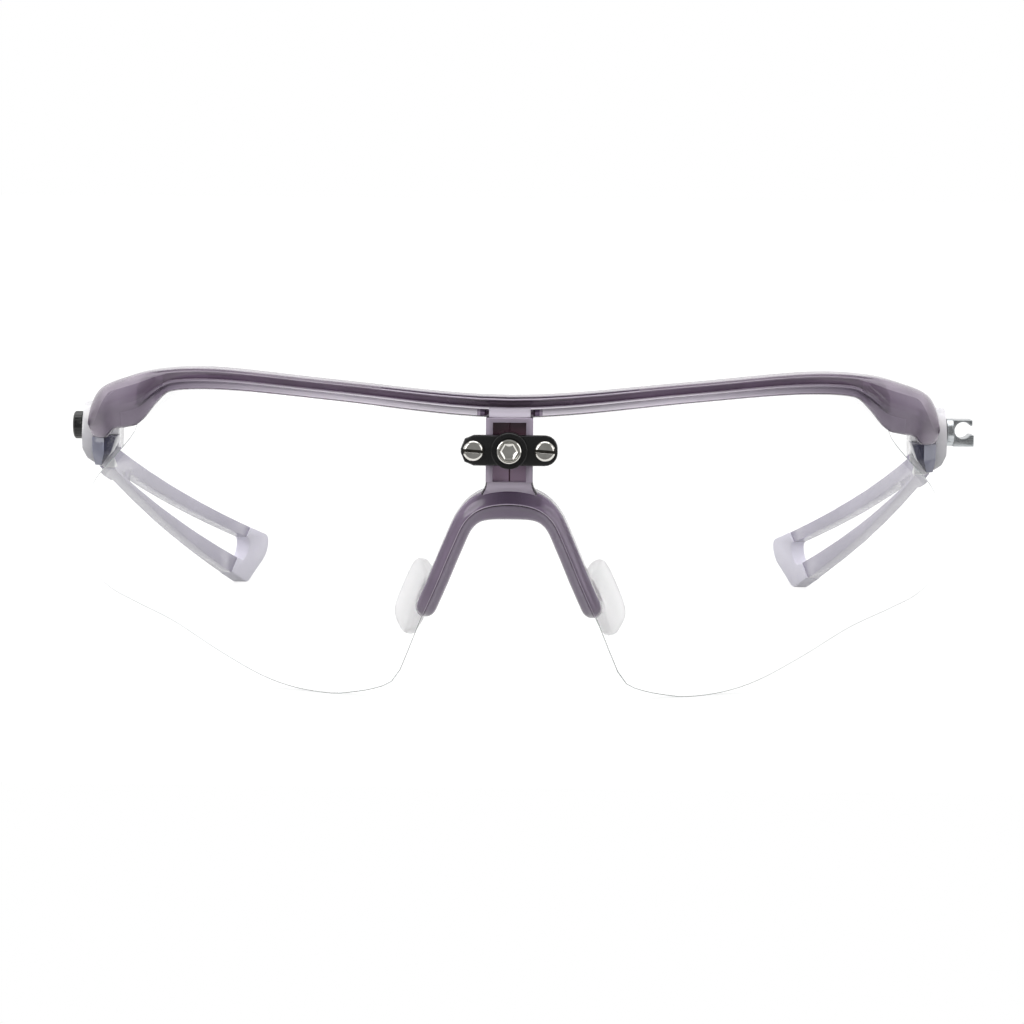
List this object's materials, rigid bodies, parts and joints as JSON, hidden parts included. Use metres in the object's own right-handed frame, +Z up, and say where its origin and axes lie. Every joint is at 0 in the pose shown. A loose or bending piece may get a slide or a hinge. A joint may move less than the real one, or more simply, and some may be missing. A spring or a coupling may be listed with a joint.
{
  "type": "belay glasses",
  "caption": "Clear wrap shield glasses with a smoky brow bar and nose bridge, folding slotted temples and a small height-adjustable screw mount on the bridge.",
  "frame": {"origin": "middle of the front face of the mount bracket on the bridge, between its slotted screws", "axes": "X across the face, Y from the front back along the temples, Z up; left and right are as seen from the front, so left is -X"},
  "size_m": [0.1594, 0.1616, 0.0545],
  "materials": {
    "smoky_plastic": "moulded, polished, slightly translucent",
    "clear_lens": "clear, polished",
    "pad_silicone": "milky, satin",
    "black_plastic": "moulded, satin",
    "bright_steel": "polished",
    "plain_steel": "satin",
    "hinge_plastic": "moulded, polished",
    "temple_plastic": "moulded, polished, translucent",
    "tip_rubber": "moulded, satin, translucent",
    "bush_brass": "turned",
    "dark_washer": "satin"
  },
  "bodies": {
    "frame_front": {"brow_frame": "smoky_plastic", "lens": "clear_lens", "nose_bridge": "smoky_plastic", "nose_pad_left": "pad_silicone", "nose_pad_right": "pad_silicone", "hinge_block_left": "hinge_plastic", "hinge_block_right": "hinge_plastic", "hinge_screw_left": "plain_steel", "hinge_screw_right": "plain_steel"},
    "optic_slider": {"mount_bracket": "black_plastic", "mount_socket_screw": "bright_steel", "mount_nut_plate": "plain_steel", "optic_screws": "bright_steel"},
    "left_temple": {"temple_left": "temple_plastic", "temple_tip_left": "tip_rubber", "knob_bush": "bush_brass", "knob_washer": "dark_washer"},
    "side_knob": {"knob_cap": "black_plastic", "knob_stud": "plain_steel"},
    "right_temple": {"temple_right": "temple_plastic", "temple_tip_right": "tip_rubber", "clip_bush": "bush_brass", "clip_washer": "dark_washer"},
    "cable_clip_body": {"cable_clip": "plain_steel", "clip_stud": "plain_steel"}
  },
  "joints": [
    {"name": "left_temple_fold", "type": "hinge", "parent": "frame_front", "child": "left_temple", "pos_m": [-0.0716, 0.04845, 0], "axis": [0, 0, -1], "range_deg": [0, 90]},
    {"name": "right_temple_fold", "type": "hinge", "parent": "frame_front", "child": "right_temple", "pos_m": [0.0716, 0.04845, 0], "axis": [0, 0, 1], "range_deg": [0, 84]},
    {"name": "mount_height", "type": "slide", "parent": "frame_front", "child": "optic_slider", "axis": [0, 0, 1], "range_m": [-0.0032, 0.0023]},
    {"name": "side_knob_turn", "type": "hinge", "parent": "left_temple", "child": "side_knob", "pos_m": [-0.077, 0.05246, -0.001], "axis": [-1, 0, 0], "continuous": true},
    {"name": "cable_clip_swivel", "type": "hinge", "parent": "right_temple", "child": "cable_clip_body", "pos_m": [0.077, 0.05246, -0.001], "axis": [1, 0, 0], "continuous": true}
  ]
}
